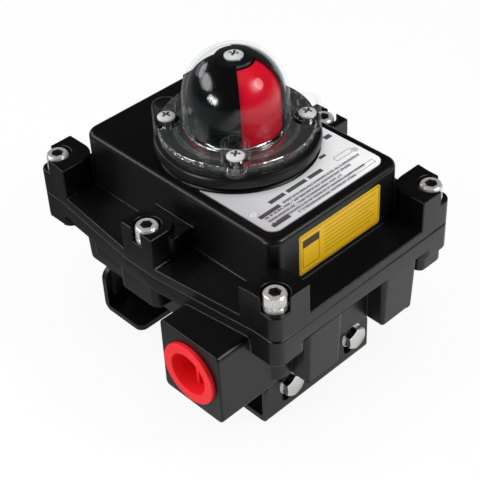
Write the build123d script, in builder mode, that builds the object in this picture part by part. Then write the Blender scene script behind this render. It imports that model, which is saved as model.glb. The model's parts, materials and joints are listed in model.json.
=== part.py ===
from build123d import *
import os
from math import atan2, cos, degrees, radians, sin, sqrt

os.makedirs("parts", exist_ok=True)

# heights measured from the nominal mounting plane, the shaft axis is Z
FEET = -3.0
BASE_BOTTOM = 29.0
FLANGE_BOTTOM = 60.0
PARTING = 68.0
LEDGE = 73.0
SCREW_SEAT = 81.0
BOSS_TOP = 88.5
COVER_TOP = 101.0
SEAT_TOP = 109.5

# plan of the flanged joint
EDGE_X = 77.0
CORNER_Y = 55.5
TIP_Y = 61.5
SHOULDER_X = 63.0
TIP_X = 10.0
CORNER_R = 5.0
SCREW_X = 70.0
SCREW_Y = 48.6
MIDDLE_Y = 55.2
COUNTERBORE_R = 6.3

# raised lid and wiring space
LID_X = 60.6
LID_Y = 39.6
LID_CAVITY = (111.0, 70.4)
BASE_CAVITY = (116.0, 78.0)
FLOOR = 34.0

# conduit entries, the rear one is the front one turned half round the shaft
ENTRY_X = 43.6
ENTRY_Z = 43.5
ENTRY_FACE = 73.5
ENTRY_SIZE = (36.0, 38.5)
ENTRY_BORE = 12.2

# bracket feet and their side bolts
LEG_OUT = 57.0
PLATE = 3.0
LEG_Y = (-43.0, 24.0)
BOLT_Y = (-30.0, 11.0)
BOLT_Z = 16.0
CHANNEL_Y = (-40.0, 21.0)
LEG_TOP = 22.5
FOOT_HOLES = (40.0, 15.0)

# shaft line
SHAFT_R = 6.0
NECK_R = 4.0
BUSH_R = 8.0
CAM_R = 8.0
CAM_RISE = 1.2
ROLLER_R = 2.0
SWITCH_Z = (50.15, 66.15)
PIVOT = (-17.5, 13.2)
SWITCH_FACE = 15.0

# indicator
DOME_Z = 127.0
DOME_SCREW_R = 30.6
DOME_R = 23.4
DOME_WALL = 1.4
LUG_TOP = 123.5
HEAD_SEAT = 116.6

SCREW_SPOTS = [(sx * SCREW_X, sy * SCREW_Y) for sx in (-1, 1) for sy in (-1, 1)]
SCREW_SPOTS += [(0, -MIDDLE_Y), (0, MIDDLE_Y)]


def flange(z, height, windows=()):
    side = [(EDGE_X, -CORNER_Y), (SHOULDER_X, -CORNER_Y), (TIP_X, -TIP_Y)]
    front = side + [(-x, y) for x, y in reversed(side)]
    with BuildSketch(Plane.XY.offset(z)) as plan:
        with BuildLine():
            Polyline(*front, *[(-x, -y) for x, y in front], close=True)
        make_face()
        fillet([v for v in plan.vertices() if abs(v.X) > EDGE_X - 0.1], CORNER_R)
        if windows:
            with BuildSketch(Plane.XY.offset(z), mode=Mode.INTERSECT):
                for x, y, wide, tall, radius in windows:
                    with Locations((x, y)):
                        RectangleRounded(wide, tall, radius)
    extrude(plan.sketch, amount=height)


def block(x0, x1, y0, y1, z0, z1, radius=0.0, mode=Mode.ADD, taper=0.0):
    with BuildSketch(Plane.XY.offset(z1 if taper else z0)) as plan:
        with Locations(((x0 + x1) / 2, (y0 + y1) / 2)):
            if radius:
                RectangleRounded(x1 - x0, y1 - y0, radius)
            else:
                Rectangle(x1 - x0, y1 - y0)
    height = z0 - z1 if taper else z1 - z0
    extrude(plan.sketch, amount=height, taper=taper, mode=mode)


def drum(x, y, z0, z1, radius, mode=Mode.ADD):
    with BuildSketch(Plane.XY.offset(z0)) as plan:
        with Locations((x, y)):
            Circle(radius)
    extrude(plan.sketch, amount=z1 - z0, mode=mode)


def tube(z0, z1, outer, inner, x=0.0, y=0.0):
    with BuildSketch(Plane.XY.offset(z0)) as plan:
        with Locations((x, y)):
            Circle(outer)
            Circle(inner, mode=Mode.SUBTRACT)
    extrude(plan.sketch, amount=z1 - z0)


def side_hole(x, z, y0, y1, radius, mode=Mode.SUBTRACT):
    with BuildSketch(Plane.XZ.offset(-y0)) as plan:
        with Locations((x, z)):
            Circle(radius)
    extrude(plan.sketch, amount=y0 - y1, mode=mode)


# every piece is set down so that the feet stand on zero
def save(shape, name):
    settled = Pos(0, 0, -FEET) * shape
    settled.label = name
    export_step(settled, "parts/" + name + ".step")


# lower housing: flange, drafted box, outer panels, corner lobes and two conduit bosses
with BuildPart() as base_housing:
    flange(FLANGE_BOTTOM, PARTING - FLANGE_BOTTOM)
    block(-66, 66, -46, 46, BASE_BOTTOM, FLANGE_BOTTOM, 8, taper=2.5)
    for sx in (-1, 1):
        for sy in (-1, 1):
            xs = sorted((sx * 50, sx * (EDGE_X - 1.5)))
            ys = sorted((sy * 13, sy * 36))
            block(*xs, *ys, BASE_BOTTOM, FLANGE_BOTTOM, 3, taper=2.5)
            xs = sorted((sx * 58, sx * EDGE_X))
            ys = sorted((sy * 37, sy * CORNER_Y))
            block(*xs, *ys, FLANGE_BOTTOM - 6, FLANGE_BOTTOM, CORNER_R)
    for s in (-1, 1):
        block(*sorted((s * 15, s * 39)), *sorted((s * 40, s * 57.5)), 52, FLANGE_BOTTOM, 3)
        block(*sorted((s * -7, s * 19)), *sorted((s * 40, s * 59.5)), 46, FLANGE_BOTTOM, 4)
        with BuildSketch(Plane.XZ.offset(s * -40)):
            with Locations((s * -ENTRY_X, ENTRY_Z)):
                RectangleRounded(*ENTRY_SIZE, 2.5)
        extrude(amount=s * (40 - ENTRY_FACE))
    block(61, EDGE_X - 2, 38, CORNER_Y - 1.5, 46, FLANGE_BOTTOM - 6, 4)
    entry_faces = faces().group_by(Axis.Y)
    fillet(entry_faces[0].edges() + entry_faces[-1].edges(), 0.9)
    drum(0, 0, 24, BASE_BOTTOM, 13)
    block(-BASE_CAVITY[0] / 2, BASE_CAVITY[0] / 2, -BASE_CAVITY[1] / 2, BASE_CAVITY[1] / 2,
          FLOOR, PARTING, 8, Mode.SUBTRACT)
    drum(0, 0, FLOOR, 38, 12)
    for x in (-38, 38):
        for y in (-17, 5):
            drum(x, y, FLOOR, 39, 5)
    for y in (19, 29):
        drum(-29, y, FLOOR, 38.4, 3.6)
    drum(48, 26, FLOOR, 38, 4.5)
    # seal groove round the cavity
    with BuildSketch(Plane.XY.offset(PARTING)):
        RectangleRounded(128, 89, 10)
        RectangleRounded(122, 83, 7, mode=Mode.SUBTRACT)
    extrude(amount=-2.2, mode=Mode.SUBTRACT)
    for x, y in SCREW_SPOTS:
        drum(x, y, 57, PARTING, 3.04, Mode.SUBTRACT)
    for s in (-1, 1):
        side_hole(s * ENTRY_X, ENTRY_Z, s * -ENTRY_FACE, s * -37, ENTRY_BORE)
    drum(0, 0, 24, 38, BUSH_R + 0.02, Mode.SUBTRACT)
    for x in (-38, 38):
        for y in (-17, 5):
            drum(x, y, BASE_BOTTOM, 37, 2.54, Mode.SUBTRACT)
    for y in (19, 29):
        drum(-29, y, 34.5, 38.4, 1.54, Mode.SUBTRACT)
    drum(48, 26, 33, 38, 2.04, Mode.SUBTRACT)
save(base_housing.part, "base_housing")

# cover: flange, raised lid, six screw bosses with open counterbores, indicator seat
with BuildPart() as top_cover:
    flange(PARTING, LEDGE - PARTING)
    block(-LID_X, LID_X, -LID_Y, LID_Y, LEDGE, COVER_TOP, 7)
    fillet(faces().sort_by(Axis.Z)[-1].edges(), 2.6)
    pads = [(sx * 76.5, sy * 55.4, 40, 40, 9) for sx in (-1, 1) for sy in (-1, 1)]
    pads += [(0, s * 57.5, 19.8, 28, 9.5) for s in (-1, 1)]
    flange(LEDGE, BOSS_TOP - LEDGE, pads)
    for s in (-1, 1):
        block(-12, 12, *sorted((s * 37, s * 52)), LEDGE, BOSS_TOP - 4, 3)
    # spigot that enters the lower housing
    block(-57.9, 57.9, -38.9, 38.9, FLANGE_BOTTOM, PARTING, 8)
    block(-LID_CAVITY[0] / 2, LID_CAVITY[0] / 2, -LID_CAVITY[1] / 2, LID_CAVITY[1] / 2,
          FLANGE_BOTTOM, COVER_TOP - 4, 6, Mode.SUBTRACT)
    drum(0, 0, 90, COVER_TOP - 4, 12)
    # indicator seat with a narrower foot
    with BuildSketch(Plane.XZ):
        with BuildLine():
            Polyline((6, 99), (35, 99), (35, 103.5), (37.2, 104.5), (37.2, 108.3), (36.2, SEAT_TOP),
                     (24.5, SEAT_TOP), (24.5, 104), (6, 104), close=True)
        make_face()
    revolve(axis=Axis.Z)
    tapped = [(DOME_SCREW_R * cos(radians(a)), DOME_SCREW_R * sin(radians(a))) for a in (45, 135, 225, 315)]
    for x, y in tapped:
        drum(x, y, 103.5, SEAT_TOP, 2.04, Mode.SUBTRACT)
    with BuildSketch(Plane.XY.offset(SEAT_TOP)):
        Circle(28)
        Circle(26, mode=Mode.SUBTRACT)
    extrude(amount=-1.4, mode=Mode.SUBTRACT)
    drum(0, 0, 90, 104, BUSH_R + 0.02, Mode.SUBTRACT)
    for x, y in SCREW_SPOTS:
        drum(x, y, PARTING, SCREW_SEAT, 3.35, Mode.SUBTRACT)
        drum(x, y, SCREW_SEAT, BOSS_TOP, COUNTERBORE_R, Mode.SUBTRACT)
        # mouth of the counterbore, towards the corner or the front
        heading = degrees(atan2(y, x)) if not x else 45 * (1 if x > 0 else 3) * (1 if y > 0 else -1)
        mouth = 11.6 if x else 5.8
        with BuildSketch(Plane.XY.offset(SCREW_SEAT)):
            with Locations(Location((x, y, 0), (0, 0, heading))):
                Rectangle(20, mouth, align=(Align.MIN, Align.CENTER))
        extrude(amount=BOSS_TOP - SCREW_SEAT, mode=Mode.SUBTRACT)
save(top_cover.part, "top_cover")

with BuildPart() as cover_seal:
    with BuildSketch(Plane.XY.offset(PARTING - 2.15)):
        RectangleRounded(127.9, 88.9, 9.95)
        RectangleRounded(122.1, 83.1, 7.05, mode=Mode.SUBTRACT)
    extrude(amount=2.1)
save(cover_seal.part, "cover_seal")

# six socket head screws with their spring washers
with BuildPart() as cover_screws:
    for x, y in SCREW_SPOTS:
        drum(x, y, SCREW_SEAT + 1.6, SCREW_SEAT + 7.6, 5)
        drum(x, y, 58, SCREW_SEAT + 1.6, 3)
    rims = edges().filter_by(GeomType.CIRCLE).group_by(Axis.Z)[-1]
    fillet(rims, 0.6)
    with BuildSketch(Plane.XY.offset(SCREW_SEAT + 7.6)):
        with Locations(SCREW_SPOTS):
            RegularPolygon(2.9, 6)
    extrude(amount=-3.2, mode=Mode.SUBTRACT)
save(cover_screws.part, "cover_screws")

with BuildPart() as cover_washers:
    for x, y in SCREW_SPOTS:
        with BuildSketch(Plane.XY.offset(SCREW_SEAT)):
            with Locations((x, y)):
                Circle(5.3)
                Circle(3.2, mode=Mode.SUBTRACT)
                with Locations((4.5, 0)):
                    Rectangle(3.4, 0.7, mode=Mode.SUBTRACT)
        extrude(amount=1.6)
save(cover_washers.part, "cover_washers")

# red travel plugs of the two entries
for name, s in (("conduit_plug_front", 1), ("conduit_plug_rear", -1)):
    with BuildPart() as plug:
        face = s * -ENTRY_FACE
        centre = Plane(origin=(s * ENTRY_X, face, ENTRY_Z), x_dir=(s, 0, 0), z_dir=(0, -s, 0))
        with BuildSketch(centre):
            Circle(14.9)
        extrude(amount=2)
        with BuildSketch(centre):
            Circle(ENTRY_BORE - 0.05)
        extrude(amount=-11)
        with BuildSketch(centre.offset(2)):
            Circle(10.2)
        extrude(amount=-11.4, taper=3, mode=Mode.SUBTRACT)
        with BuildSketch(centre.offset(-9.5)):
            with Locations((0, -2)):
                Rectangle(1.6, 14)
        extrude(amount=6)
        rim = faces().filter_by(Axis.Y).sort_by(Axis.Y)[0 if s > 0 else -1]
        fillet(rim.edges(), 0.5)
    save(plug.part, name)

# shaft with actuator tongue at the foot and a square tip for the indicator
with BuildPart() as shaft:
    drum(0, 0, 18, 104.5, SHAFT_R)
    drum(0, 0, 104.5, 143, NECK_R)
    block(-2.5, 2.5, -2.5, 2.5, 143, 145)
    block(-SHAFT_R + 0.4, SHAFT_R - 0.4, -2, 2, 13, 18)
    drum(0, 0, 134, 145, 1.52, Mode.SUBTRACT)
    tip = edges().filter_by(Axis.X).group_by(Axis.Z)[0]
    chamfer(tip, 0.5)
    with BuildSketch(Plane.XY.offset(70)):
        Circle(7)
        Circle(5.4, mode=Mode.SUBTRACT)
    extrude(amount=1, mode=Mode.SUBTRACT)
    with BuildSketch(Plane.XY.offset(40.2)):
        Circle(7)
        Circle(5.4, mode=Mode.SUBTRACT)
    extrude(amount=1, mode=Mode.SUBTRACT)
save(shaft.part, "shaft")

with BuildPart() as shaft_circlips:
    for z in (40.25, 70.05):
        with BuildSketch(Plane.XY.offset(z)):
            Circle(8)
            Circle(5.45, mode=Mode.SUBTRACT)
            with Locations((7, 0)):
                Rectangle(4, 2.6, mode=Mode.SUBTRACT)
        extrude(amount=0.9)
save(shaft_circlips.part, "shaft_circlips")

for name, z0, z1 in (("shaft_bush_lower", 26.4, 39), ("shaft_bush_upper", 90, 103)):
    with BuildPart() as bush:
        tube(z0, z1, BUSH_R, SHAFT_R + 0.05)
        if name == "shaft_bush_lower":
            tube(38.02, 39.2, 10, SHAFT_R + 0.05)
    save(bush.part, name)

with BuildPart() as shaft_seals:
    tube(24.3, 26.3, BUSH_R, SHAFT_R + 0.06)
    fillet(edges().filter_by(GeomType.CIRCLE), 0.6)
save(shaft_seals.part, "shaft_seal")


def cam(name, mid, start, rise):
    with BuildPart() as body:
        with BuildSketch(Plane.XY.offset(mid - 3)):
            with BuildLine():
                spots = []
                for a in range(0, 360, 10):
                    part = (90 - a) / 90 if a <= 90 else (0 if a < 330 else (a - 330) / 30)
                    r = CAM_R + (start + rise * part if a <= 90 else 0)
                    if a > 90:
                        back = (a - 90) / 270
                        r = CAM_R + start + rise * (back * back * (3 - 2 * back))
                    spots.append((r * cos(radians(a)), r * sin(radians(a))))
                Spline(*spots, periodic=True)
            make_face()
            Circle(SHAFT_R + 0.02, mode=Mode.SUBTRACT)
        extrude(amount=6)
        tube(mid + 3, mid + 3.8, 7.4, SHAFT_R + 0.02)
        tube(mid - 3.8, mid - 3, 7.4, SHAFT_R + 0.02)
    save(body.part, name)


cam("cam_lower", SWITCH_Z[0], 0.0, CAM_RISE)
cam("cam_upper", SWITCH_Z[1], CAM_RISE, -CAM_RISE)

with BuildPart() as cam_sleeves:
    tube(41.2, SWITCH_Z[0] - 3.85, 7.2, SHAFT_R + 0.02)
    tube(SWITCH_Z[0] + 3.85, SWITCH_Z[1] - 3.85, 7.2, SHAFT_R + 0.02)
save(cam_sleeves.part, "cam_sleeves")


def microswitch(name, mid):
    z0 = mid - 5.15
    with BuildPart() as body:
        block(-21, 7, SWITCH_FACE, 30.9, z0, z0 + 10.3, 0)
        fillet(edges().filter_by(Axis.Z), 0.8)
        for x in (-17.5, 4.2):
            drum(x, 27.5 if x < 0 else 20, z0, z0 + 10.3, 1.6, Mode.SUBTRACT)
        for z in (z0 + 0.6, mid + 2.95):
            block(PIVOT[0] - 1.6, PIVOT[0] + 1.6, PIVOT[1] - 1.4, SWITCH_FACE, z, z + 1.6)
        drum(*PIVOT, z0, z0 + 10.3, 0.62, Mode.SUBTRACT)
        side_hole(-10, mid, SWITCH_FACE + 4.5, SWITCH_FACE, 1.2)
    save(body.part, name)


microswitch("microswitch_lower", SWITCH_Z[0])
microswitch("microswitch_upper", SWITCH_Z[1])

with BuildPart() as lever_pins:
    for mid in SWITCH_Z:
        drum(*PIVOT, mid - 4.55, mid + 4.55, 0.6)
save(lever_pins.part, "lever_pins")

with BuildPart() as switch_terminals:
    for mid in SWITCH_Z:
        for x in (-18, -8, 2):
            block(x - 1.6, x + 1.6, 30.95, 34.6, mid - 0.4, mid + 0.4)
save(switch_terminals.part, "switch_terminals")


# roller lever of one switch, lift is how far the cam already holds the roller out
def lever(name, mid, lift):
    with BuildPart() as arm:
        block(PIVOT[0], 2.2, 12.95, 13.45, mid - 2.4, mid + 2.4)
        drum(*PIVOT, mid - 2.4, mid + 2.4, 1.15)
        for z in (mid - 2.9, mid + 2.4):
            block(-2.2, 2.2, 9.2, 13.45, z, z + 0.5)
        drum(0, 10.3, mid - 3, mid + 3, 0.7)
        drum(*PIVOT, mid - 3, mid + 3, 0.66, Mode.SUBTRACT)
    with BuildPart() as wheel:
        tube(mid - 2.2, mid + 2.2, ROLLER_R, 0.72, 0, 10.3)
    turn = lift / -PIVOT[0] * 180 / 3.14159265
    pivot = Axis((PIVOT[0], PIVOT[1], 0), (0, 0, 1))
    for builder, label in ((arm, "lever_" + name), (wheel, "roller_" + name)):
        save(builder.part.rotate(pivot, turn), label)


lever("lower", SWITCH_Z[0], 0.0)
lever("upper", SWITCH_Z[1], CAM_RISE)

for name, mid, push in (("lower", SWITCH_Z[0], 0.0), ("upper", SWITCH_Z[1], CAM_RISE * 7.5 / 17.5)):
    with BuildPart() as plunger:
        side_hole(-10, mid, 17.8 + push, 13.75 + push, 1.15, Mode.ADD)
        fillet(edges().filter_by(GeomType.CIRCLE).group_by(Axis.Y)[0], 0.5)
    save(plunger.part, "plunger_" + name)

# steel stand with two shelves that carries both switches
with BuildPart() as switch_bracket:
    block(-24.5, -23, 14, 34, 38.5, 74)
    block(-34, -23, 14, 34, 38.5, 40)
    for mid in SWITCH_Z:
        block(-24, 7.5, 16, 30.5, mid - 6.7, mid - 5.2)
    drum(-29, 19, 38, 41, 1.7, Mode.SUBTRACT)
    drum(-29, 29, 38, 41, 1.7, Mode.SUBTRACT)
    for mid in SWITCH_Z:
        drum(-17.5, 27.5, mid - 7, mid - 5, 1.54, Mode.SUBTRACT)
        drum(4.2, 20, mid - 7, mid - 5, 1.54, Mode.SUBTRACT)
save(switch_bracket.part, "switch_bracket")

with BuildPart() as switch_screws:
    for mid in SWITCH_Z:
        for x, y in ((-17.5, 27.5), (4.2, 20)):
            drum(x, y, mid - 6.7, mid + 5.2, 1.5)
            drum(x, y, mid + 5.2, mid + 7.2, 2.8)
    for y in (19, 29):
        drum(-29, y, 35, 40.05, 1.5)
        drum(-29, y, 40.05, 42, 2.8)
save(switch_screws.part, "switch_screws")

# terminal strip on the floor with its clamping screws
with BuildPart() as terminal_strip:
    block(-28, 28, -34, -22, FLOOR + 0.05, 44)
    for i in range(8):
        x = -28 + 8 * i
        block(max(x - 0.6, -28), min(x + 0.6, 28), -34, -22, 44, 49)
    for i in range(7):
        for y in (-31, -25):
            drum(-24 + 8 * i, y, 39, 44, 2.05, Mode.SUBTRACT)
save(terminal_strip.part, "terminal_strip")

with BuildPart() as terminal_screws:
    for i in range(7):
        for y in (-31, -25):
            drum(-24 + 8 * i, y, 39.5, 44.2, 1.6)
            drum(-24 + 8 * i, y, 44.1, 46, 2.6)
    for i in range(7):
        block(-24.4 + 8 * i, -23.6 + 8 * i, -34, -22, 45.3, 46, 0, Mode.SUBTRACT)
save(terminal_screws.part, "terminal_screws")

with BuildPart() as earth_screw:
    drum(48, 26, 33.5, 38.1, 2)
    drum(48, 26, 38.1, 41, 4)
    block(47.4, 48.6, 20, 32, 40.2, 41, 0, Mode.SUBTRACT)
save(earth_screw.part, "earth_screw")


# indicator: hollow two-colour drum, turning black shroud and clear dome
def domed_shell(outer, inner, foot, top_r, turn):
    lift_out = sqrt(outer * outer - top_r * top_r)
    lift_in = sqrt(inner * inner - top_r * top_r)
    with BuildSketch(Plane.XZ) as profile:
        with BuildLine():
            Polyline((inner, DOME_Z), (inner, foot), (outer, foot), (outer, DOME_Z))
            RadiusArc((outer, DOME_Z), (top_r, DOME_Z + lift_out), -outer)
            Line((top_r, DOME_Z + lift_out), (top_r, DOME_Z + lift_in))
            RadiusArc((top_r, DOME_Z + lift_in), (inner, DOME_Z), inner)
        make_face()
    revolve(profile.sketch, axis=Axis.Z, revolution_arc=turn)


for name, start in (("drum_red", -45), ("drum_yellow", 45)):
    with BuildPart() as sectors:
        domed_shell(19.8, 18.2, 106.2, 9.0, 89.6)
        if name == "drum_red":
            with BuildSketch(Plane.XY.offset(104)):
                Circle(21.4)
                Circle(8.2, mode=Mode.SUBTRACT)
            floor_disc = extrude(amount=2.2, mode=Mode.PRIVATE)
    one = sectors.part.rotate(Axis.Z, start + 0.2)
    two = sectors.part.rotate(Axis.Z, start + 180.2)
    whole = one + two + floor_disc if name == "drum_red" else one + two
    save(whole, name)

with BuildPart() as indicator_shroud:
    domed_shell(21.6, 20.2, 107.5, 6.0, 360)
    drum(0, 0, 143.05, 146.6, 8.3)
    for s in (-1, 1):
        with BuildSketch(Plane.XY.offset(113)):
            with BuildLine():
                reach = 30 * sin(radians(38)) / cos(radians(38))
                Polyline((0, 0), (s * 30, -reach), (s * 30, reach), close=True)
            make_face()
            Circle(8.4, mode=Mode.SUBTRACT)
        extrude(amount=40, mode=Mode.SUBTRACT)
    block(-2.55, 2.55, -2.55, 2.55, 143, 145.1, 0, Mode.SUBTRACT)
    drum(0, 0, 145, 150, 1.6, Mode.SUBTRACT)
    drum(0, 0, 146.6, 160, 30, Mode.SUBTRACT)
save(indicator_shroud.part, "indicator_shroud")

with BuildPart() as shroud_screw:
    drum(0, 0, 136, 146.6, 1.5)
    drum(0, 0, 146.6, 148.3, 4.2)
    fillet(edges().filter_by(GeomType.CIRCLE).group_by(Axis.Z)[-1], 0.9)
    block(-2.2, 2.2, -0.4, 0.4, 147.2, 149, 0, Mode.SUBTRACT)
    block(-0.4, 0.4, -2.2, 2.2, 147.2, 149, 0, Mode.SUBTRACT)
save(shroud_screw.part, "shroud_screw")

with BuildPart() as clear_dome:
    drum(0, 0, SEAT_TOP, SEAT_TOP + 5, 34.4)
    for x, y in tapped:
        drum(x, y, SEAT_TOP, LUG_TOP, 6)
    for radius, mode in ((DOME_R, Mode.ADD), (DOME_R - DOME_WALL, Mode.SUBTRACT)):
        drum(0, 0, SEAT_TOP, DOME_Z, radius, mode)
        with BuildSketch(Plane.XZ):
            with BuildLine():
                Line((0, DOME_Z), (0, DOME_Z + radius))
                RadiusArc((0, DOME_Z + radius), (radius, DOME_Z), radius)
                Line((radius, DOME_Z), (0, DOME_Z))
            make_face()
        revolve(axis=Axis.Z, mode=mode)
    for x, y in tapped:
        drum(x, y, SEAT_TOP, HEAD_SEAT, 2.2, Mode.SUBTRACT)
        drum(x, y, HEAD_SEAT, LUG_TOP, 4.4, Mode.SUBTRACT)
save(clear_dome.part, "clear_dome")

with BuildPart() as dome_seal:
    tube(SEAT_TOP - 1.35, SEAT_TOP - 0.05, 27.95, 26.05)
save(dome_seal.part, "dome_seal")

with BuildPart() as dome_screws:
    for x, y in tapped:
        drum(x, y, 104.5, HEAD_SEAT, 2)
        drum(x, y, HEAD_SEAT, HEAD_SEAT + 2, 3.9)
    fillet(edges().filter_by(GeomType.CIRCLE).group_by(Axis.Z)[-1], 0.9)
    for x, y in tapped:
        block(x - 2, x + 2, y - 0.4, y + 0.4, HEAD_SEAT + 1, HEAD_SEAT + 3, 0, Mode.SUBTRACT)
        block(x - 0.4, x + 0.4, y - 2, y + 2, HEAD_SEAT + 1, HEAD_SEAT + 3, 0, Mode.SUBTRACT)
save(dome_screws.part, "dome_screws")

# name plate curved round the indicator seat, side label and plate rivets
with BuildPart() as name_plate:
    with BuildSketch(Plane.XY.offset(COVER_TOP)) as plate:
        with Locations((33.5, 0)):
            Rectangle(44, 69)
        fillet([v for v in plate.vertices() if v.X > 50], 5)
        Circle(36.6, mode=Mode.SUBTRACT)
        for y in (-31, 31):
            with Locations((41, y)):
                Circle(1.05, mode=Mode.SUBTRACT)
    extrude(amount=0.5)
save(name_plate.part, "name_plate")

with BuildPart() as name_plate_rivets:
    for y in (-31, 31):
        drum(41, y, COVER_TOP, COVER_TOP + 0.5, 1)
        drum(41, y, COVER_TOP + 0.5, COVER_TOP + 1.1, 1.6)
    fillet(edges().filter_by(GeomType.CIRCLE).group_by(Axis.Z)[-1], 0.4)
save(name_plate_rivets.part, "name_plate_rivets")

with BuildPart() as side_label:
    with BuildSketch(Plane.YZ.offset(LID_X)):
        with Locations((0, 86.4)):
            RectangleRounded(50, 20.6, 1.2)
    extrude(amount=0.35)
save(side_label.part, "side_label")

# bracket: channel under the housing and two slotted feet
with BuildPart() as bracket_channel:
    with BuildSketch(Plane.XZ.offset(-CHANNEL_Y[0])) as section:
        with BuildLine():
            inner = LEG_OUT - 2 * PLATE
            outer = LEG_OUT - PLATE
            Polyline((-outer, 7), (-outer, 29), (outer, 29), (outer, 7), (inner, 7), (inner, 26),
                     (-inner, 26), (-inner, 7), close=True)
        make_face()
        fillet([v for v in section.vertices() if v.Y > 28], 4)
        fillet([v for v in section.vertices() if 25.5 < v.Y < 27], 1)
    extrude(amount=CHANNEL_Y[0] - CHANNEL_Y[1])
    drum(0, 0, 20, 30, 14.5, Mode.SUBTRACT)
    for x in (-38, 38):
        for y in (-17, 5):
            drum(x, y, 20, 30, 2.8, Mode.SUBTRACT)
    with BuildSketch(Plane.YZ.offset(-60)):
        for y in BOLT_Y:
            with Locations((y, BOLT_Z)):
                Circle(3.3)
    extrude(amount=120, mode=Mode.SUBTRACT)
save(bracket_channel.part, "bracket_channel")

with BuildPart() as bracket_plate_screws:
    for x in (-38, 38):
        for y in (-17, 5):
            drum(x, y, 26, 36, 2.5)
            drum(x, y, 22.5, 26, 4.5)
    with BuildSketch(Plane.XY.offset(22.5)):
        with Locations((-38, -17), (-38, 5), (38, -17), (38, 5)):
            RegularPolygon(2.3, 6)
    extrude(amount=2, mode=Mode.SUBTRACT)
save(bracket_plate_screws.part, "bracket_plate_screws")

for name, s in (("bracket_foot_left", -1), ("bracket_foot_right", 1)):
    with BuildPart() as foot:
        with BuildSketch(Plane.XZ.offset(-LEG_Y[0])) as section:
            with BuildLine():
                out = s * LEG_OUT
                skin = s * (LEG_OUT - PLATE)
                tip = s * 30
                sole = FEET + PLATE
                Polyline((out, FEET), (out, LEG_TOP), (skin, LEG_TOP), (skin, sole), (tip, sole),
                         (tip, FEET), close=True)
            make_face()
            fillet([v for v in section.vertices() if abs(v.X) > LEG_OUT - 0.1 and v.Y < 1], 4)
            fillet([v for v in section.vertices() if abs(v.X - skin) < 0.1 and v.Y < 4], 1)
        extrude(amount=LEG_Y[0] - LEG_Y[1])
        tops = edges().filter_by(Axis.X).group_by(Axis.Z)[-1]
        fillet(tops, 7)
        toes = [e for e in edges().filter_by(Axis.Z) if abs(e.center().X) < 31]
        fillet(toes, 4)
        with BuildSketch(Plane.YZ.offset(-60)):
            for y in BOLT_Y:
                with Locations((y, BOLT_Z - 4.5)):
                    SlotOverall(16, 6.6, rotation=90)
        extrude(amount=120, mode=Mode.SUBTRACT)
        with BuildSketch(Plane.XY.offset(FEET)):
            with Locations((s * FOOT_HOLES[0], -FOOT_HOLES[1]), (s * FOOT_HOLES[0], FOOT_HOLES[1])):
                SlotOverall(13, 5.6)
        extrude(amount=PLATE, mode=Mode.SUBTRACT)
    save(foot.part, name)

# side bolts, washers and nuts of the feet
with BuildPart() as bracket_bolts:
    for s in (-1, 1):
        for y in BOLT_Y:
            start = Plane(origin=(s * (LEG_OUT + 1.6), y, BOLT_Z), x_dir=(0, 1, 0), z_dir=(s, 0, 0))
            with BuildSketch(start):
                RegularPolygon(5.8, 6)
            extrude(amount=4)
            with BuildSketch(start):
                Circle(3)
            extrude(amount=-14)
save(bracket_bolts.part, "bracket_bolts")

with BuildPart() as bracket_washers:
    for s in (-1, 1):
        for y in BOLT_Y:
            start = Plane(origin=(s * LEG_OUT, y, BOLT_Z), x_dir=(0, 1, 0), z_dir=(s, 0, 0))
            with BuildSketch(start):
                Circle(6.2)
                Circle(3.1, mode=Mode.SUBTRACT)
            extrude(amount=1.6)
save(bracket_washers.part, "bracket_washers")

with BuildPart() as bracket_nuts:
    for s in (-1, 1):
        for y in BOLT_Y:
            start = Plane(origin=(s * (LEG_OUT - 2 * PLATE), y, BOLT_Z), x_dir=(0, 1, 0), z_dir=(s, 0, 0))
            with BuildSketch(start):
                RegularPolygon(5.8, 6)
                Circle(3.05, mode=Mode.SUBTRACT)
            extrude(amount=-5)
save(bracket_nuts.part, "bracket_nuts")
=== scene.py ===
import json
import math
import bmesh
import bpy
from mathutils import Matrix, Vector
from mathutils.bvhtree import BVHTree


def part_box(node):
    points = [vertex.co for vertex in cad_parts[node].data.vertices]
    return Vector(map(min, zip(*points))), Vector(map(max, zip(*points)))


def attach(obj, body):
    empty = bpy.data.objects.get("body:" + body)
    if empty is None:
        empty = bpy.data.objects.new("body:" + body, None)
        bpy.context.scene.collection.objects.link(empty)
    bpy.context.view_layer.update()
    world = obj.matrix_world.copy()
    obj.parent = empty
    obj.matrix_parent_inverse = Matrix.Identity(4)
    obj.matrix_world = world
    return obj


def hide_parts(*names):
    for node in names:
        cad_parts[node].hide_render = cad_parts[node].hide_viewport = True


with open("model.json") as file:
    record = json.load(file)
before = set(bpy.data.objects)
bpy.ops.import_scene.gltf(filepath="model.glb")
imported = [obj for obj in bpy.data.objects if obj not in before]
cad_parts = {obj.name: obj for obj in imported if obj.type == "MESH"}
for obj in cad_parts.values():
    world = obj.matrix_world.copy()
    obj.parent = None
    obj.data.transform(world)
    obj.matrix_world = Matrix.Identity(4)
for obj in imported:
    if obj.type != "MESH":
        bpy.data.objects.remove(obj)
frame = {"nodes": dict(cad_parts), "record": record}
print("frame loaded:", len(frame["nodes"]), "nodes")


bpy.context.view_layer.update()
mm = 0.001
overlap = 1.0 * mm
smoothAngle = 34
nodes = frame["nodes"]
white = (1, 1, 1, 1)


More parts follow.
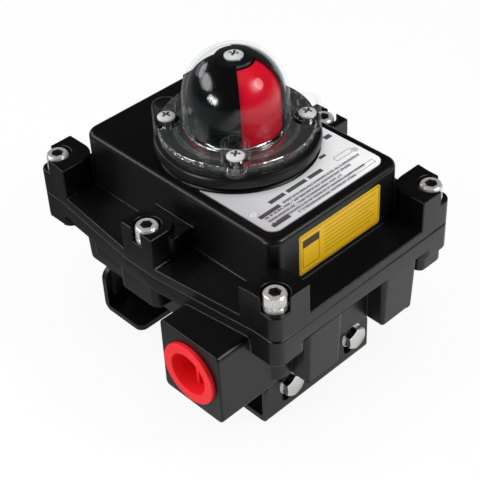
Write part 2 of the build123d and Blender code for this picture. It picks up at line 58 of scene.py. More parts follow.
# one socket of a node; sums written with it add Math nodes
class Wire:
    def __init__(self, tree, socket):
        self.tree = tree
        self.socket = socket

    def calc(self, operation, *others):
        return self.tree.add("ShaderNodeMath", {"operation": operation}, [self, *others])

    def __add__(self, other):
        return self.calc("ADD", other)

    def __sub__(self, other):
        return self.calc("SUBTRACT", other)

    def __mul__(self, other):
        return self.calc("MULTIPLY", other)

    def __truediv__(self, other):
        return self.calc("DIVIDE", other)

    def __radd__(self, other):
        return self.calc("ADD", other)

    def __rmul__(self, other):
        return self.calc("MULTIPLY", other)

    def __rsub__(self, other):
        return self.tree.add("ShaderNodeMath", {"operation": "SUBTRACT"}, [other, self])

    def __gt__(self, other):
        return self.calc("GREATER_THAN", other)

    def __lt__(self, other):
        return self.calc("LESS_THAN", other)

    def clip(self):
        return self.tree.add("ShaderNodeClamp", {}, [self])


class NodeTree:
    def __init__(self, tree):
        self.nodes = tree.nodes
        self.links = tree.links

    # any node: its settings first, then the values or links of its inputs
    def add(self, kind, settings, inputs, output=0):
        node = self.nodes.new(kind)
        for key, value in settings.items():
            setattr(node, key, value)
        pairs = inputs.items() if isinstance(inputs, dict) else enumerate(inputs)
        for key, value in pairs:
            for single in reversed(value) if isinstance(value, list) else [value]:
                if isinstance(single, Wire):
                    self.links.new(single.socket, node.inputs[key])
                else:
                    node.inputs[key].default_value = single
        return Wire(self, node.outputs[output])

    def mix(self, factor, low, high):
        return self.add("ShaderNodeMixShader", {}, [factor, low, high])

    def axes(self, vector):
        node = self.add("ShaderNodeSeparateXYZ", {}, {"Vector": vector}).socket.node
        return [Wire(self, node.outputs[i]) for i in range(3)]


class Finish(NodeTree):
    def __init__(self, name, color, **constants):
        self.material = bpy.data.materials.new(name)
        self.material.use_nodes = True
        super().__init__(self.material.node_tree)
        self.shader = self.nodes["Principled BSDF"]
        self.output = self.nodes["Material Output"]
        self.shader.inputs["Base Color"].default_value = (*color, 1)
        for socket, value in constants.items():
            self.shader.inputs[socket.replace("_", " ")].default_value = value
        self.place = self.add("ShaderNodeTexCoord", {}, [], "Object")

    def into(self, socket, wire):
        self.links.new(wire.socket, self.shader.inputs[socket])

    def surface(self):
        return Wire(self, self.shader.outputs[0])

    def show(self, wire):
        self.links.new(wire.socket, self.output.inputs[0])
        return self.material

    def noise(self, scale, detail=3.0, roughness=0.55, stretch=None):
        where = self.place
        if stretch:
            wire = {"Vector": self.place, "Scale": stretch}
            where = self.add("ShaderNodeMapping", {}, wire, "Vector")
        wire = {"Vector": where, "Scale": scale, "Detail": detail, "Roughness": roughness}
        return self.add("ShaderNodeTexNoise", {}, wire)

    def split(self):
        return self.axes(self.place)

    def blend(self, mask, low, high):
        tones = [tone if isinstance(tone, Wire) else (*tone, 1) for tone in (low, high)]
        wire = {0: mask, 6: tones[0], 7: tones[1]}
        return self.add("ShaderNodeMix", {"data_type": "RGBA"}, wire, 2)

    def bump(self, height, strength, distance):
        wire = {"Strength": strength, "Distance": distance, "Height": height}
        return self.add("ShaderNodeBump", {}, wire)


# how far a recess mark reaches past its radius, and how far it stays under the top
recessMark = {"reach": 1.1, "under": 0.1 * mm}


# a tree that sets one modelled piece on every point of a small mesh
class Sprout(NodeTree):
    def __init__(self, name, sizes):
        self.group = bpy.data.node_groups.new(name, "GeometryNodeTree")
        super().__init__(self.group)
        self.sizes = sizes
        face = self.group.interface
        kinds = {float: "NodeSocketFloat", int: "NodeSocketInt"}
        face.new_socket("places", in_out="INPUT", socket_type="NodeSocketGeometry")
        for key, value in sizes.items():
            face.new_socket(key, in_out="INPUT", socket_type=kinds[type(value)])
        face.new_socket("finish", in_out="INPUT", socket_type="NodeSocketMaterial")
        face.new_socket("result", in_out="OUTPUT", socket_type="NodeSocketGeometry")
        entry = self.nodes.new("NodeGroupInput")
        self.size = {socket.name: Wire(self, socket) for socket in entry.outputs if socket.name}

    def shift(self, shape, x=0.0, y=0.0, z=0.0):
        where = self.add("ShaderNodeCombineXYZ", {}, [x, y, z])
        return self.add("GeometryNodeTransform", {}, {"Geometry": shape, "Translation": where})

    def cone(self, low, high, depth, sides=64, lift=0.0):
        wire = {"Vertices": sides, "Radius Top": high, "Radius Bottom": low, "Depth": depth}
        return self.shift(self.add("GeometryNodeMeshCone", {}, wire, "Mesh"), z=lift)

    def bar(self, x, y, z, lift=0.0):
        size = self.add("ShaderNodeCombineXYZ", {}, [x, y, z])
        return self.shift(self.add("GeometryNodeMeshCube", {}, {"Size": size}, "Mesh"), z=lift)

    def cut(self, shape, *tools):
        settings = {"operation": "DIFFERENCE", "solver": "EXACT"}
        wire = {"Mesh 1": shape, "Mesh 2": list(tools)}
        return self.add("GeometryNodeMeshBoolean", settings, wire, "Mesh")

    def common(self, *shapes):
        settings = {"operation": "INTERSECT", "solver": "EXACT"}
        return self.add("GeometryNodeMeshBoolean", settings, {"Mesh 2": list(shapes)}, "Mesh")

    def join(self, *shapes):
        return self.add("GeometryNodeJoinGeometry", {}, {"Geometry": list(shapes)})

    # marks the faces of a recess, where the finish paints shade on them
    def markRecess(self, shape, radius, top):
        x, y, z = self.axes(self.add("GeometryNodeInputPosition", {}, []))
        within = x * x + y * y < radius * radius * recessMark["reach"]
        return self.store(shape, within * (z < top - recessMark["under"]) * (z > 0.0))

    def store(self, shape, value):
        settings = {"data_type": "FLOAT", "domain": "FACE"}
        wire = {"Geometry": shape, "Name": "recess", "Value": value}
        return self.add("GeometryNodeStoreNamedAttribute", settings, wire)

    def end(self, single):
        settings = {"data_type": "FLOAT_VECTOR"}
        turn = self.add("GeometryNodeInputNamedAttribute", settings, {"Name": "turn"})
        wire = {"Points": self.size["places"], "Instance": single, "Rotation": turn}
        spread = self.add("GeometryNodeInstanceOnPoints", {}, wire)
        real = self.add("GeometryNodeRealizeInstances", {}, [spread])
        wire = {"Geometry": real, "Material": self.size["finish"]}
        painted = self.add("GeometryNodeSetMaterial", {}, wire)
        self.links.new(painted.socket, self.nodes.new("NodeGroupOutput").inputs[0])
        return self


def smooth(mesh):
    mesh.polygons.foreach_set("use_smooth", [True] * len(mesh.polygons))
    mesh.set_sharp_from_angle(angle=math.radians(smoothAngle))


def adopt(obj, body, replaced):
    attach(obj, body)
    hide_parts(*replaced)
    return obj


def linked(name, data):
    obj = bpy.data.objects.new(name, data)
    bpy.context.collection.objects.link(obj)
    return obj


# the shape that the modifiers give, which are then dropped
def baked(obj):
    shaped = bpy.data.meshes.new_from_object(
        obj.evaluated_get(bpy.context.evaluated_depsgraph_get()))
    obj.modifiers.clear()
    return shaped


# spots are (x, y, z, turn about x, y, z) in mm and degrees
def grow(name, sprout, spots, material, body, replaced):
    seeds = bpy.data.meshes.new(name + "Seeds")
    seeds.from_pydata([[v * mm for v in spot[:3]] for spot in spots], [], [])
    turns = seeds.attributes.new("turn", "FLOAT_VECTOR", "POINT")
    turns.data.foreach_set("vector", [math.radians(v) for spot in spots for v in spot[3:]])
    obj = linked(name, seeds)
    modifier = obj.modifiers.new("grow", "NODES")
    modifier.node_group = sprout.group
    items = sprout.group.interface.items_tree
    inputs = {item.name: item.identifier for item in items if item.in_out == "INPUT"}
    for key, value in sprout.sizes.items():
        modifier[inputs[key]] = value
    modifier[inputs["finish"]] = material
    obj.data = baked(obj)
    obj.data.name = name
    smooth(obj.data)
    return adopt(obj, body, replaced)


# stray: how far a rounded edge may leave the casting, as a part of the bevel width
softEdge = {"merge": 1e-6, "segments": 2, "angle": 38, "stray": 0.45}


# merged copy of a CAD node with softly rounded edges
def soften(name, nodeName, width, body):
    source = nodes[nodeName]
    obj = linked(name, source.data.copy())
    work = bmesh.new()
    work.from_mesh(obj.data)
    bmesh.ops.remove_doubles(work, verts=work.verts, dist=softEdge["merge"])
    work.to_mesh(obj.data)
    work.free()
    smooth(obj.data)
    bevel = obj.modifiers.new("edges", "BEVEL")
    bevel.width = width
    bevel.segments = softEdge["segments"]
    bevel.limit_method = "ANGLE"
    bevel.angle_limit = math.radians(softEdge["angle"])
    bevel.use_clamp_overlap = False
    weighted = obj.modifiers.new("flatFaces", "WEIGHTED_NORMAL")
    weighted.keep_sharp = True
    shaped = baked(obj)
    surface = BVHTree.FromObject(source, bpy.context.evaluated_depsgraph_get())
    corners = [[pick(v.co[i] for v in source.data.vertices) for i in range(3)]
               for pick in (min, max)]
    for vertex in shaped.vertices:
        place, normal, face, gap = surface.find_nearest(vertex.co)
        if gap > width * softEdge["stray"]:
            vertex.co = place
        vertex.co = [min(max(v, low), high) for v, low, high in zip(vertex.co, *corners)]
    obj.data = shaped
    return adopt(obj, body, [nodeName])


def shade(tint, factor):
    return tuple(min(1.0, v * factor) for v in tint)


# recess: how strongly the painted shade covers faces that carry the recess mark
grainLook = {"dark": 0.78, "light": 1.24, "recess": 0.93, "fineRough": 0.05, "relief": 0.4 * mm}
# dark tone painted as shade into the marked recess faces of the screws
paintedRecessShade = (0.03, 0.025, 0.02)


# cloudy colour, uneven gloss and fine surface relief
def grained(name, color, rough, swing=0.08, grain=900.0, relief=0.06, cloud=45.0, recess=None,
            **constants):
    finish = Finish(name, color, **constants)
    look = grainLook
    fine = finish.noise(grain, 4.0, 0.6)
    soft = finish.noise(cloud, 5.0, 0.6)
    paint = finish.blend(soft, shade(color, look["dark"]), shade(color, look["light"]))
    # painted shade: faces that carry the recess mark blend towards the dark recess colour
    if recess:
        mark = finish.add("ShaderNodeAttribute", {"attribute_name": "recess"}, [], "Fac")
        paint = finish.blend(mark * look["recess"], paint, recess)
    finish.into("Base Color", paint)
    gloss = soft * swing + (rough - swing / 2) + fine * look["fineRough"]
    finish.into("Roughness", gloss.clip())
    finish.into("Normal", finish.bump(fine, relief, look["relief"]))
    return finish.material


print("finishes")
finishPlan = {
    "powderCoat": dict(color=(0.002, 0.0021, 0.0023), rough=0.31, grain=1500.0, relief=0.09,
                       cloud=30.0, Specular_IOR_Level=0.42),
    "bracketPaint": dict(color=(0.0022, 0.0022, 0.0024), rough=0.34, swing=0.12, grain=1100.0,
                         relief=0.09, cloud=60.0),
    "sealRubber": dict(color=(0.012, 0.012, 0.012), rough=0.62, swing=0.1, grain=1500.0,
                       relief=0.15),
    "stainlessTurned": dict(color=(0.9, 0.85, 0.8), rough=0.26, swing=0.12, grain=2200.0,
                            relief=0.08, cloud=300.0, recess=paintedRecessShade, Metallic=0.65),
    "zincBright": dict(color=(0.74, 0.74, 0.72), rough=0.24, swing=0.16, grain=1300.0,
                       relief=0.08, cloud=260.0, recess=paintedRecessShade, Metallic=1.0),
    "nickelHead": dict(color=(0.98, 0.91, 0.83), rough=0.3, swing=0.1, grain=1800.0,
                       cloud=240.0, recess=paintedRecessShade, Metallic=0.35),
    "plugPlastic": dict(color=(0.92, 0.012, 0.02), rough=0.48, swing=0.1, grain=1300.0,
                        cloud=80.0, Specular_IOR_Level=0.34),
    "redGloss": dict(color=(0.68, 0.004, 0.02), rough=0.22, grain=700.0, relief=0.02,
                     cloud=60.0, Specular_IOR_Level=0.35),
    "yellowGloss": dict(color=(0.85, 0.52, 0.01), rough=0.25, grain=700.0, relief=0.02,
                        cloud=60.0, Coat_Weight=0.3),
    "shroudGloss": dict(color=(0.002, 0.002, 0.0022), rough=0.12, swing=0.06, grain=600.0,
                        relief=0.015, cloud=50.0, Coat_Weight=0.4),
    "bronzePorous": dict(color=(0.56, 0.36, 0.16), rough=0.42, swing=0.14, grain=2600.0,
                         relief=0.2, cloud=300.0, Metallic=1.0),
    "acetal": dict(color=(0.78, 0.75, 0.66), rough=0.42, swing=0.1, grain=1200.0, relief=0.05),
    "switchCase": dict(color=(0.045, 0.047, 0.052), rough=0.5, swing=0.1, grain=1500.0,
                       relief=0.12),
    "terminalCream": dict(color=(0.8, 0.77, 0.68), rough=0.48, swing=0.1, grain=1200.0,
                          relief=0.08),
    "terminalBrass": dict(color=(0.74, 0.55, 0.26), rough=0.28, swing=0.14, grain=1600.0,
                          relief=0.08, cloud=260.0, recess=paintedRecessShade, Metallic=1.0),
    "rivetMetal": dict(color=(0.82, 0.82, 0.83), rough=0.4, swing=0.1, grain=1600.0,
                       cloud=260.0, Metallic=0.4),
}
finishes = {name: grained(name, **plan) for name, plan in finishPlan.items()}

clearLook = {"color": (0.97, 0.985, 0.99), "tint": (0.97, 0.98, 0.985, 1),
             "milkAndPaintedRim": (0.9, 0.92, 0.93, 1), "flangeTop": 117.6, "flangeEdge": 33.6,
             "smearScale": 60.0, "smear": 0.03, "waveScale": 140.0, "wave": 0.04,
             "flutes": 44.0, "relief": 0.5, "reliefDepth": 0.3 * mm, "shine": 0.38,
             "shineRough": 0.03, "paintedRim": 0.22, "paintedRimPower": 4.0, "flangeHaze": 0.02,
             "lightThrough": 0.85}


# solid plastic up to the top of the flange, thin clear wall above it
def clearPlastic():
    look = clearLook
    finish = Finish("clearPlastic", look["color"], IOR=1.5, Transmission_Weight=1.0)
    smear = finish.noise(look["smearScale"])
    finish.into("Roughness", (smear * look["smear"]).clip())
    x, y, z = finish.split()
    high = z > look["flangeTop"] * mm
    wall = (x * x + y * y > (look["flangeEdge"] * mm) ** 2) * (1 - high)
    flutes = (y.calc("ARCTAN2", x) * look["flutes"]).calc("SINE") * wall
    wave = finish.noise(look["waveScale"], 2.0) * look["wave"]
    relief = finish.bump(wave + flutes, look["relief"], look["reliefDepth"])
    finish.into("Normal", relief)
    outside = 1 - finish.add("ShaderNodeNewGeometry", {}, [], "Backfacing")
    clear = finish.add("ShaderNodeBsdfTransparent", {}, [look["tint"]])
    wire = {"Color": white, "Roughness": look["shineRough"]}
    shine = finish.add("ShaderNodeBsdfGlossy", {}, wire)
    edge = finish.add("ShaderNodeFresnel", {}, {"IOR": 1.45, "Normal": relief})
    thin = finish.mix((edge * outside * look["shine"]).clip(), clear, shine)
    # painted highlight: a milky white rim at grazing angles stands in for the bright edges that
    # reflections give clear plastic
    facing = finish.add("ShaderNodeLayerWeight", {}, {"Blend": 0.5}, "Facing")
    milkAndPaintedRim = finish.add("ShaderNodeBsdfDiffuse", {}, [look["milkAndPaintedRim"]])
    paintedRimMask = facing.calc("POWER", look["paintedRimPower"]) * look["paintedRim"] * outside
    thin = finish.mix(paintedRimMask.clip(), thin, milkAndPaintedRim)
    # the solid part gets the same painted rim highlight plus an even milkiness
    cloudy = ((paintedRimMask + look["flangeHaze"]) * outside).clip()
    body = finish.mix(cloudy, finish.surface(), milkAndPaintedRim)
    shadow = finish.add("ShaderNodeLightPath", {}, [], "Is Shadow Ray")
    body = finish.mix(shadow * look["lightThrough"], body, clear)
    return finish.show(finish.mix(high, body, thin))


def band(wire, low, high):
    return (wire > low * mm) * (wire < high * mm)


# the plates carry only ruled lines and blank boxes as print, in mm from the middle of the part;
# the name plate also has a painted shadow at one end
platePrint = {
    "color": (0.92, 0.92, 0.93), "dull": (0.9, 0.9, 0.91), "bright": (0.98, 0.98, 0.99),
    "shadow": (0.4, 0.4, 0.41), "ink": (0.02, 0.02, 0.025), "inkWeight": 0.92,
    "rows": ((43.4, -17, 30), (45.7, -30, 22), (48.0, -30, 14), (50.2, -30, 26),
             (52.4, -17, 18)),
    "rowHeight": 1.25, "rowInk": 0.95, "dash": 1.15, "dashStep": 0.37, "dashGap": 0.16,
    "speckScale": 900.0, "speckStep": 40, "speckGap": 0.38,
    "ruleLow": 1.5, "ruleHigh": 1.66, "ruleInk": 0.55, "frameLine": 0.25,
    "bars": ((39.0, 41.2, -21, -12), (39.0, 41.2, -10.5, 1), (39.0, 41.2, 2.5, 11),
             (43.2, 45.4, -31, -19), (50.8, 53.0, -31, -21), (24.0, 26.6, 28.5, 32.5),
             (33.0, 34.6, 16, 20)),
    "frames": ((50.6, 53.2, 15, 31), (38.0, 41.0, 20, 31)),
    "brushScale": 500.0, "brush": (6.0, 0.25, 1.0), "cloudScale": 40.0,
    "paintedSheenSlope": 14, "paintedSheenStart": 0.62, "rough": 0.24, "brushRough": 0.18,
    "cloudRough": 0.06, "relief": 0.05, "reliefDepth": 0.2 * mm,
}


def namePlateFinish():
    look = platePrint
    finish = Finish("namePlateMetal", look["color"], Metallic=0.04)
    x, y, z = finish.split()
    brushed = finish.noise(look["brushScale"], 4.0, 0.6, look["brush"])
    cloud = finish.noise(look["cloudScale"])
    ink = 0.0
    for i, (row, start, reach) in enumerate(look["rows"]):
        dash = (y * (1 / (look["dash"] * mm)) + i * look["dashStep"]).calc("FRACT")
        specks = finish.noise(look["speckScale"] + look["speckStep"] * i, 1.0)
        dash = (dash > look["dashGap"]) * (specks > look["speckGap"])
        span = band(y, start, reach)
        ink = dash * band(x, row, row + look["rowHeight"]) * span * look["rowInk"] + ink
        rule = band(x, row + look["ruleLow"], row + look["ruleHigh"])
        ink = ink + rule * span * look["ruleInk"]
    for x0, x1, y0, y1 in look["bars"]:
        ink = ink + band(x, x0, x1) * band(y, y0, y1)
    line = look["frameLine"]
    for x0, x1, y0, y1 in look["frames"]:
        ink = ink + band(x, x0, x1) * band(y, y0, y1)
        ink = ink - band(x, x0 + line, x1 - line) * band(y, y0 + line, y1 - line)
    # painted sheen: the plate runs from the painted shadow tone at its -y end to bright metal,
    # as light would fall across it
    paintedSheenRamp = (y * look["paintedSheenSlope"] + look["paintedSheenStart"]).clip()
    metal = finish.blend(brushed, look["dull"], look["bright"])
    metal = finish.blend(paintedSheenRamp, look["shadow"], metal)
    weight = ink.clip() * look["inkWeight"]
    finish.into("Base Color", finish.blend(weight, metal, look["ink"]))
    rough = brushed * look["brushRough"] + look["rough"] + cloud * look["cloudRough"]
    finish.into("Roughness", rough.clip())
    finish.into("Normal", finish.bump(brushed, look["relief"], look["reliefDepth"]))
    return finish.material


labelPrint = {
    "color": (0.98, 0.58, 0.006), "dull": (0.93, 0.54, 0.005), "bright": (1.0, 0.6, 0.008),
    "ink": (0.015, 0.013, 0.01), "inkWeight": 0.96, "boxStart": 2, "boxEnd": 12,
    "headTop": 3, "headFoot": 7, "boxFoot": 3, "boxLine": 0.35, "boxInk": 0.8,
    "rows": 7, "rowStart": 15, "rowEnd": 3, "firstRow": 3.2, "rowStep": 2.15,
    "rowHeight": 0.42, "rowInk": 0.6, "edgeOut": 0.6, "edgeIn": 1, "edgeInk": 0.75,
    "cloudScale": 120.0, "rough": 0.32, "cloudRough": 0.12, "grain": 900.0,
    "relief": 0.04, "reliefDepth": 0.3 * mm,
}


def sideLabelFinish():
    look = labelPrint
    finish = Finish("sideLabelFilm", look["color"])
    x, y, z = finish.split()
    cloud = finish.noise(look["cloudScale"], 4.0)
    lowEdge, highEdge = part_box("side_label")
    left, bottom = lowEdge[1] / mm, lowEdge[2] / mm
    right, top = highEdge[1] / mm, highEdge[2] / mm

    def frameArea(gap):
        return band(y, left + gap, right - gap) * band(z, bottom + gap, top - gap)

    start, end = left + look["boxStart"], left + look["boxEnd"]
    low, high = bottom + look["boxFoot"], top - look["headFoot"]
    line = look["boxLine"]
    ink = band(y, start, end) * band(z, high, top - look["headTop"])
    hollow = band(y, start + line, end - line) * band(z, low + line, high)
    ink = ink + (band(y, start, end) * band(z, low, high) - hollow) * look["boxInk"]
    for i in range(look["rows"]):
        height = top - look["firstRow"] - look["rowStep"] * i
        span = band(y, left + look["rowStart"], right - look["rowEnd"] - (i * 3 % 5))
        ink = ink + span * band(z, height - look["rowHeight"], height) * look["rowInk"]
    border = (1 - frameArea(look["edgeIn"])) * frameArea(look["edgeOut"])
    weight = (ink + border * look["edgeInk"]).clip() * look["inkWeight"]
    film = finish.blend(cloud, look["dull"], look["bright"])
    finish.into("Base Color", finish.blend(weight, film, look["ink"]))
    finish.into("Roughness", (cloud * look["cloudRough"] + look["rough"]).clip())
    fine = finish.noise(look["grain"])
    finish.into("Normal", finish.bump(fine, look["relief"], look["reliefDepth"]))
    return finish.material


finishes["clearPlastic"] = clearPlastic()
finishes["namePlateMetal"] = namePlateFinish()
finishes["sideLabelFilm"] = sideLabelFinish()

# which finish each material slot of the record gets
slotFinish = {
    "housing_black": "powderCoat", "bracket_black": "bracketPaint", "seal_black": "sealRubber",
    "stainless": "stainlessTurned", "zinc_steel": "zincBright", "nickel_screw": "nickelHead",
    "plug_red": "plugPlastic", "drum_red": "redGloss", "drum_yellow": "yellowGloss",
    "shroud_black": "shroudGloss", "clear_plastic": "clearPlastic", "bronze": "bronzePorous",
    "cam_nylon": "acetal", "switch_black": "switchCase", "terminal_plastic": "terminalCream",
    "terminal_metal": "terminalBrass", "plate_silver": "namePlateMetal",
    "label_yellow": "sideLabelFilm",
}

for part in frame["record"]["subparts"]:
    node = nodes[part["node"]]
    node.data.materials.clear()
    node.data.materials.append(finishes[slotFinish[part["material_slot"]]])
nodes["name_plate_rivets"].data.materials[0] = finishes["rivetMetal"]
# the paint doesn't mirror the label
nodes["side_label"].visible_glossy = False
print("CAD nodes finished")

coverScrew = {"headRadius": 5.0 * mm, "headHeight": 6.0 * mm, "chamfer": 0.7 * mm,
              "socketRadius": 2.9 * mm, "socketDepth": 3.2 * mm, "shankRadius": 3.0 * mm,
              "shankLength": 24.0 * mm, "ridges": 44, "ridgeSize": 0.42 * mm}
coverScrewPlan = {"x": 70.0, "y": 48.6, "middle": 55.2, "seat": 85.6,
                  "turns": (12, 40, 3, 25, 50, 18), "knurlMiddle": 0.46, "knurlHeight": 0.72}


def socketScrewTree(sizes):
    t = Sprout("socketScrewTree", sizes)
    s = t.size
    height = s["headHeight"]
    core = s["headRadius"] - s["ridgeSize"] * 0.5
    blank = t.cone(core, core, height + overlap)
    face = s["headRadius"] - s["chamfer"]
    crown = t.cone(face + height + overlap, face, height + overlap, lift=-overlap)
    socket = t.cone(s["socketRadius"], s["socketRadius"], s["socketDepth"] + overlap, 6,
                    height - s["socketDepth"])
    head = t.cut(t.common(blank, crown), socket)
    head = t.markRecess(head, s["socketRadius"], height)
    wheel = t.add("GeometryNodeMeshCircle", {}, {"Vertices": s["ridges"], "Radius": core})
    step = t.add("GeometryNodeInputIndex", {}, []) * (2 * math.pi) / s["ridges"] + math.pi / 4
    ridge = t.bar(s["ridgeSize"], s["ridgeSize"], height * coverScrewPlan["knurlHeight"])
    wire = {"Points": t.shift(wheel, z=height * coverScrewPlan["knurlMiddle"]),
            "Rotation": t.add("ShaderNodeCombineXYZ", {}, [0, 0, step]), "Instance": ridge}
    knurl = t.add("GeometryNodeInstanceOnPoints", {}, wire)
    length = s["shankLength"]
    shank = t.cone(s["shankRadius"], s["shankRadius"], length, 32, length * -1.0)
    return t.end(t.join(head, knurl, shank))


p = coverScrewPlan
spots = [(x, y, p["seat"]) for x in (-p["x"], p["x"]) for y in (-p["y"], p["y"])]
spots += [(0, y, p["seat"]) for y in (-p["middle"], p["middle"])]
spots = [(*spot, 0, 0, turn) for spot, turn in zip(spots, p["turns"])]
grow("coverScrewHeads", socketScrewTree(coverScrew), spots, finishes["stainlessTurned"],
     "housing", ["cover_screws"])

domeScrew = {"headRadius": 3.9 * mm, "headHeight": 2.0 * mm, "crownRadius": 6.6 * mm,
             "wing": 4.3 * mm, "slot": 1.1 * mm, "slotDepth": 1.3 * mm,
             "shankRadius": 1.95 * mm, "shankLength": 12.0 * mm}
shroudScrew = dict(domeScrew, headRadius=4.2 * mm, headHeight=1.7 * mm, crownRadius=8.0 * mm,
                   shankRadius=1.45 * mm, shankLength=10.5 * mm)
domeScrewPlan = {"ring": 30.6, "seat": 119.6, "turns": (20, 64, 8, 37)}
shroudScrewPlan = {"seat": 149.6, "turn": 30}
# the pit and the recess mark are parts of the slot and the wing
crossRecess = {"wingHeight": 2 * mm, "pitFoot": 0.5, "pitMouth": 1.25, "pitSpare": 0.1 * mm,
               "markReach": 0.52, "markTop": 0.35 * mm}


def crossScrewTree(name, sizes):
    t = Sprout(name, sizes)
    s = t.size
    cross = crossRecess
    blank = t.cone(s["headRadius"], s["headRadius"], s["headHeight"] + overlap, 48)
    wire = {"Segments": 64, "Rings": 48, "Radius": s["crownRadius"]}
    ball = t.add("GeometryNodeMeshUVSphere", {}, wire, "Mesh")
    crown = t.shift(ball, z=s["headHeight"] - s["crownRadius"])
    foot = s["headHeight"] - s["slotDepth"]
    wings = [t.bar(s["wing"], s["slot"], cross["wingHeight"], foot + overlap),
             t.bar(s["slot"], s["wing"], cross["wingHeight"], foot + overlap)]
    pit = t.cone(s["slot"] * cross["pitFoot"], s["slot"] * cross["pitMouth"],
                 s["slotDepth"] + cross["pitSpare"], 24, foot)
    head = t.cut(t.common(blank, crown), *wings, pit)
    head = t.markRecess(head, s["wing"] * cross["markReach"],
                        s["headHeight"] - cross["markTop"])
    length = s["shankLength"]
    shank = t.cone(s["shankRadius"], s["shankRadius"], length, 24, length * -1.0)
    # painted shade: the whole shank carries the recess mark, so it is painted dark as though in
    # the shadow of its hole
    return t.end(t.join(head, t.store(shank, 1.0)))


p = domeScrewPlan
arm = p["ring"] * math.cos(math.pi / 4)
corners = ((arm, arm), (-arm, arm), (-arm, -arm), (arm, -arm))
spots = [(x, y, p["seat"], 0, 0, turn) for (x, y), turn in zip(corners, p["turns"])]
grow("domeScrewHeads", crossScrewTree("domeScrewTree", domeScrew), spots,
     finishes["nickelHead"], "housing", ["dome_screws"])
p = shroudScrewPlan
grow("shroudScrewHead", crossScrewTree("shroudScrewTree", shroudScrew),
     [(0, 0, p["seat"], 0, 0, p["turn"])], finishes["nickelHead"], "shaft_assembly",
     ["shroud_screw"])

sideBolt = {"corner": 5.8 * mm, "thick": 4.0 * mm, "face": 5.0 * mm,
            "shankRadius": 3.0 * mm, "shankLength": 12.0 * mm}
sideBoltPlan = {"x": 58.6, "y": (-30.0, 11.0), "z": 19.0, "slope": 1.7}


def hexBoltTree(sizes):
    t = Sprout("hexBoltTree", sizes)
    s = t.size
    depth = s["thick"] + overlap
    blank = t.cone(s["corner"], s["corner"], depth, 6)
    crown = t.cone(s["face"] + depth * sideBoltPlan["slope"], s["face"], depth, lift=-overlap)
    length = s["shankLength"]
    shank = t.cone(s["shankRadius"], s["shankRadius"], length, 32, length * -1.0)
    return t.end(t.join(t.common(blank, crown), shank))


p = sideBoltPlan
spots = [(side * p["x"], y, p["z"], 0, side * 90, 0) for side in (-1, 1) for y in p["y"]]
grow("sideBoltHeads", hexBoltTree(sideBolt), spots, finishes["zincBright"], "housing",
     ["bracket_bolts"])
print("screws grown")

# name of the softened copy, edge width in mm and material slot
softPieces = {"top_cover": ("coverCasting", 0.7, "housing_black"),
              "base_housing": ("baseCasting", 0.7, "housing_black"),
              "clear_dome": ("clearCover", 0.5, "clear_plastic")}
for nodeName, (name, width, slotName) in softPieces.items():
    soften(name, nodeName, width * mm, "housing")
print("edges softened")

floorLook = {"half": 6.0, "color": (0.9, 0.9, 0.9), "dull": (0.89, 0.89, 0.89),
             "bright": (0.91, 0.91, 0.91), "dark": (0.01, 0.01, 0.01), "grain": 300.0,
             "glow": 0.9, "gloss": 0.72, "slope": 2.5, "middle": 0.5, "shade": 0.08}


# white for the camera and through the clear cover; where the paint mirrors it, a painted
# light-and-shade ramp, bright towards +x+y and dark towards -x-y, so the housing's faces look
# lit on one side and shaded on the other
def stageFloor():
    look = floorLook
    half = look["half"]
    mesh = bpy.data.meshes.new("floor")
    corners = [(-half, -half, 0), (half, -half, 0), (half, half, 0), (-half, half, 0)]
    mesh.from_pydata(corners, [], [(0, 1, 2, 3)])
    finish = Finish("floorPaper", look["color"], Roughness=0.9)
    paper = finish.noise(look["grain"])
    glow = finish.add("ShaderNodeEmission", {}, [white, 1.0])
    camera, through, glossy = (finish.add("ShaderNodeLightPath", {}, [], f"Is {kind} Ray")
                               for kind in ("Camera", "Transmission", "Glossy"))
    x, y, z = finish.split()
    # painted light and shade seen in reflections: a ramp across the floor from dark at -x-y to
    # bright at +x+y
    side = ((x + y) * look["slope"] + look["middle"]).clip()
    side = side * (1 - look["shade"]) + look["shade"]
    seen = (camera + through + glossy * side * look["gloss"]).clip()
    tone = finish.blend(paper, look["dull"], look["bright"])
    # painted shade: in reflections the floor's own colour goes dark on the -x-y side
    finish.into("Base Color", finish.blend(glossy * (1 - side), tone, look["dark"]))
    mesh.materials.append(finish.show(finish.mix(seen * look["glow"], finish.surface(), glow)))
    linked("floor", mesh)


studio = {"world": 0.04, "backdrop": 0.9, "aim": 0.06, "windowTurns": (-14.5, -9, -3.5, 2),
          "windowHeight": 18, "windowSize": (0.065, 0.24), "windowPower": 0.8}
# azimuth, elevation, distance, size, power, seen in reflections
lamps = {"edgeLamp": (-44, 33, 1.1, (0.8, 0.4), 3.2, True),
         "fillLamp": (114, 38, 1.0, (0.36, 0.36), 4.0, True),
         "topLamp": (60, 84, 1.2, (1.5, 1.5), 12.0, False),
         "backLamp": (-80, 24, 1.1, (0.5, 0.3), 1.2, True)}


# unit vector from the part towards a lamp or the camera
def outward(azimuth, elevation):
    a, e = math.radians(azimuth), math.radians(elevation)
    return Vector((math.sin(a) * math.cos(e), -math.cos(a) * math.cos(e), math.sin(e)))


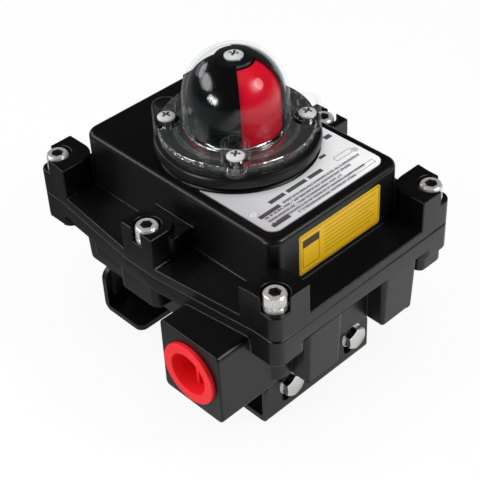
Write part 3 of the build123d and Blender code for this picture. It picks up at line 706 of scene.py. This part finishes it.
def areaLamp(name, azimuth, elevation, distance, size, power, mirrored):
    data = bpy.data.lights.new(name, "AREA")
    data.shape = "ELLIPSE"
    data.size, data.size_y = size
    data.energy = power
    lamp = linked(name, data)
    away = outward(azimuth, elevation)
    lamp.location = away * distance + Vector((0, 0, studio["aim"]))
    lamp.rotation_euler = away.to_track_quat("Z", "Y").to_euler()
    lamp.visible_glossy = mirrored


def studioLight():
    world = bpy.data.worlds.new("studio")
    world.use_nodes = True
    tree = NodeTree(world.node_tree)
    tree.nodes.remove(tree.nodes["Background"])
    ambient, backdrop = (tree.add("ShaderNodeBackground", {}, [white, studio[key]])
                         for key in ("world", "backdrop"))
    seen = tree.add("ShaderNodeLightPath", {}, [], "Is Camera Ray")
    mixed = tree.mix(seen, ambient, backdrop)
    tree.links.new(mixed.socket, tree.nodes["World Output"].inputs[0])
    bpy.context.scene.world = world
    for i, azimuth in enumerate(studio["windowTurns"]):
        areaLamp(f"windowLamp{i}", azimuth, studio["windowHeight"] - i, 1.0,
                 studio["windowSize"], studio["windowPower"], True)
    for name, plan in lamps.items():
        areaLamp(name, *plan)


view = {"azimuth": 47.63, "elevation": 39.44, "roll": -3.03, "distance": 0.5594,
        "aim": (0.0008, -0.042), "lens": 95.1, "sensor": 36}


def stageCamera():
    a, r = math.radians(view["azimuth"]), math.radians(view["roll"])
    back = outward(view["azimuth"], view["elevation"])
    level = Vector((math.cos(a), math.sin(a), 0))
    rise = back.cross(level)
    right = level * math.cos(r) + rise * math.sin(r)
    up = rise * math.cos(r) - level * math.sin(r)
    lidTop = Vector((0, 0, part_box("name_plate")[0][2]))
    spot = lidTop + back * view["distance"] + right * view["aim"][0] + up * view["aim"][1]
    data = bpy.data.cameras.new("camera")
    data.lens = view["lens"]
    data.sensor_width = view["sensor"]
    camera = linked("camera", data)
    turn = Matrix((right, up, back)).transposed().to_4x4()
    camera.matrix_world = Matrix.Translation(spot) @ turn
    bpy.context.scene.camera = camera


stageFloor()
studioLight()
stageCamera()
bpy.context.scene.view_settings.view_transform = "Standard"
print("stage set")
